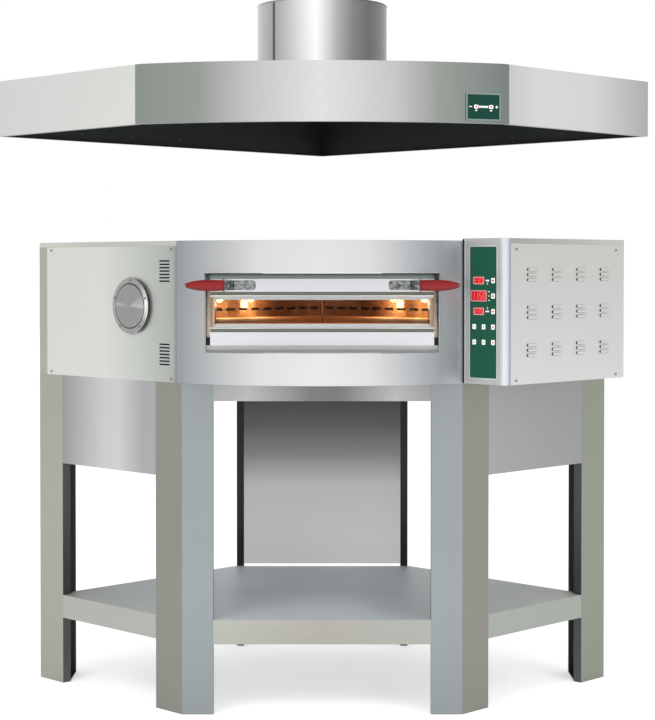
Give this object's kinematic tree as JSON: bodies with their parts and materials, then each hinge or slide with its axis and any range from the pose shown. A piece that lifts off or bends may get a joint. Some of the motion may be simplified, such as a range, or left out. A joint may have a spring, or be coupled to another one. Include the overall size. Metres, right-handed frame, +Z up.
{
  "type": "pizza oven",
  "caption": "Corner pizza oven with a bowed front, bottom-hinged glass door and side control box, on an open stand with a shelf, under a matching five-sided extraction hood.",
  "frame": {"origin": "on the floor, at the middle of the set's bounding box: midway across it, and midway between the bow of the hood and the corner of the room", "axes": "+Z up, +Y from the user towards the corner of the room, +X to the user's right"},
  "size_m": [2.0506, 1.6234, 2.129],
  "materials": {
    "brushed_steel": "brushed stainless steel sheet, fine vertical grain",
    "satin_steel": "satin stainless steel sheet",
    "bright_steel": "bright polished steel",
    "aluminium": "satin anodised extrusion",
    "dark_steel": "dark steel, satin",
    "grip_red": "red phenolic plastic, semi-gloss",
    "glass": "clear heat-resisting glass",
    "seal": "woven glass-fibre rope",
    "stone": "refractory baking stone, matt",
    "insulation": "mineral wool",
    "element": "oxidised sheathed heating rod",
    "lamp": "frosted lamp glass",
    "keypad_green": "printed polyester keypad sheet, green",
    "key_white": "white key cap with a red symbol",
    "display_red": "red display window",
    "board": "printed circuit board",
    "black_plastic": "black plastic"
  },
  "bodies": {
    "oven": {"front_leg_left": "satin_steel", "front_leg_right": "satin_steel", "outer_leg_left": "satin_steel", "outer_leg_right": "satin_steel", "rear_posts": "satin_steel", "foot_plates": "dark_steel", "lower_shelf": "satin_steel", "top_rails": "satin_steel", "side_aprons": "satin_steel", "stand_rear_panel": "satin_steel", "stand_bolts": "bright_steel", "base_tray": "satin_steel", "curved_facade": "brushed_steel", "side_panels": "brushed_steel", "corner_posts": "brushed_steel", "roof_cover": "brushed_steel", "wall_panels": "brushed_steel", "inspection_cover": "bright_steel", "casing_screws": "bright_steel", "chamber_shell": "brushed_steel", "baking_stones": "stone", "heating_elements": "element", "insulation": "insulation", "chamber_lamps": "lamp", "mouth_frame": "bright_steel", "hinge_blocks": "dark_steel", "control_box_shell": "brushed_steel", "control_side_panel": "brushed_steel", "control_fascia": "aluminium", "control_keypad": "keypad_green", "display_windows": "display_red", "control_board": "board", "cable_gland": "black_plastic", "hood_front_panel": "brushed_steel", "hood_side_panels": "brushed_steel", "hood_wall_panels": "brushed_steel", "hood_roof": "brushed_steel", "duct_collar": "brushed_steel", "hood_control_plate": "keypad_green", "hood_rivets": "bright_steel", "fan_motor": "dark_steel"},
    "door": {"door_frame": "bright_steel", "door_glass": "glass", "door_seal": "seal", "handle_brackets": "bright_steel", "handle_grips": "grip_red", "door_screws": "bright_steel", "hinge_pins": "bright_steel"},
    "fan": {"fan_wheel": "dark_steel"},
    "key_1_cap": {"key_1": "key_white"},
    "key_2_cap": {"key_2": "key_white"},
    "key_3_cap": {"key_3": "key_white"},
    "key_4_cap": {"key_4": "key_white"},
    "key_5_cap": {"key_5": "key_white"},
    "key_6_cap": {"key_6": "key_white"},
    "key_7_cap": {"key_7": "key_white"},
    "key_8_cap": {"key_8": "key_white"},
    "key_9_cap": {"key_9": "key_white"},
    "minus_cap": {"hood_key_minus": "key_white"},
    "plus_cap": {"hood_key_plus": "key_white"}
  },
  "joints": [
    {"name": "door_hinge", "type": "hinge", "parent": "oven", "child": "door", "pos_m": [0, -0.61532, 1.104], "axis": [1, 0, 0], "range_deg": [0, 90]},
    {"name": "key_1_press", "type": "slide", "parent": "oven", "child": "key_1_cap", "axis": [0.7071, 0.7071, 0], "range_m": [0, 0.0008], "stiffness_N_per_m": 1500},
    {"name": "key_2_press", "type": "slide", "parent": "oven", "child": "key_2_cap", "axis": [0.7071, 0.7071, 0], "range_m": [0, 0.0008], "stiffness_N_per_m": 1500},
    {"name": "key_3_press", "type": "slide", "parent": "oven", "child": "key_3_cap", "axis": [0.7071, 0.7071, 0], "range_m": [0, 0.0008], "stiffness_N_per_m": 1500},
    {"name": "key_4_press", "type": "slide", "parent": "oven", "child": "key_4_cap", "axis": [0.7071, 0.7071, 0], "range_m": [0, 0.0008], "stiffness_N_per_m": 1500},
    {"name": "key_5_press", "type": "slide", "parent": "oven", "child": "key_5_cap", "axis": [0.7071, 0.7071, 0], "range_m": [0, 0.0008], "stiffness_N_per_m": 1500},
    {"name": "key_6_press", "type": "slide", "parent": "oven", "child": "key_6_cap", "axis": [0.7071, 0.7071, 0], "range_m": [0, 0.0008], "stiffness_N_per_m": 1500},
    {"name": "key_7_press", "type": "slide", "parent": "oven", "child": "key_7_cap", "axis": [0.7071, 0.7071, 0], "range_m": [0, 0.0008], "stiffness_N_per_m": 1500},
    {"name": "key_8_press", "type": "slide", "parent": "oven", "child": "key_8_cap", "axis": [0.7071, 0.7071, 0], "range_m": [0, 0.0008], "stiffness_N_per_m": 1500},
    {"name": "key_9_press", "type": "slide", "parent": "oven", "child": "key_9_cap", "axis": [0.7071, 0.7071, 0], "range_m": [0, 0.0008], "stiffness_N_per_m": 1500},
    {"name": "hood_minus_press", "type": "slide", "parent": "oven", "child": "minus_cap", "axis": [-0.3121, 0.9501, 0], "range_m": [0, 0.0008], "stiffness_N_per_m": 1500},
    {"name": "hood_plus_press", "type": "slide", "parent": "oven", "child": "plus_cap", "axis": [-0.3121, 0.9501, 0], "range_m": [0, 0.0008], "stiffness_N_per_m": 1500},
    {"name": "fan_spin", "type": "hinge", "parent": "oven", "child": "fan", "pos_m": [0, -0.29193, 1.955], "axis": [0, 0, 1], "continuous": true}
  ]
}
